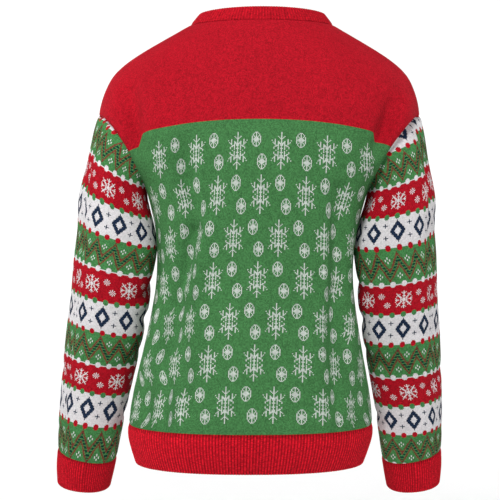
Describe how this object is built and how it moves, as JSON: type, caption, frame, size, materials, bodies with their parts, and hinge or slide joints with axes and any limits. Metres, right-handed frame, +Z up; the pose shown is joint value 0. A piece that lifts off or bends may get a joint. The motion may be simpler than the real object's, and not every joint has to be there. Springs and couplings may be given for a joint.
{
  "type": "christmas sweater",
  "caption": "Long-sleeved crew-neck knitted sweater with drop shoulders, ribbed neck, hem and cuffs, filled out and open inside.",
  "frame": {"origin": "middle of the neck opening, at the height where the neck meets the shoulders", "axes": "+Z up, the front of the garment faces -Y, +X is the wearer's left"},
  "size_m": [0.656, 0.2572, 0.7902],
  "materials": {
    "body_knit": "soft matt knit, green with white snowflakes under a plain red yoke",
    "sleeve_knit": "soft matt knit in red, white, navy and green bands",
    "rib_knit": "soft matt ribbed knit, red"
  },
  "bodies": {
    "root": {"back": "body_knit", "front": "body_knit", "sleeve_left": "sleeve_knit", "sleeve_right": "sleeve_knit", "neck_rib": "rib_knit", "hem_rib_back": "rib_knit", "hem_rib_front": "rib_knit", "cuff_left": "rib_knit", "cuff_right": "rib_knit"}
  },
  "joints": []
}
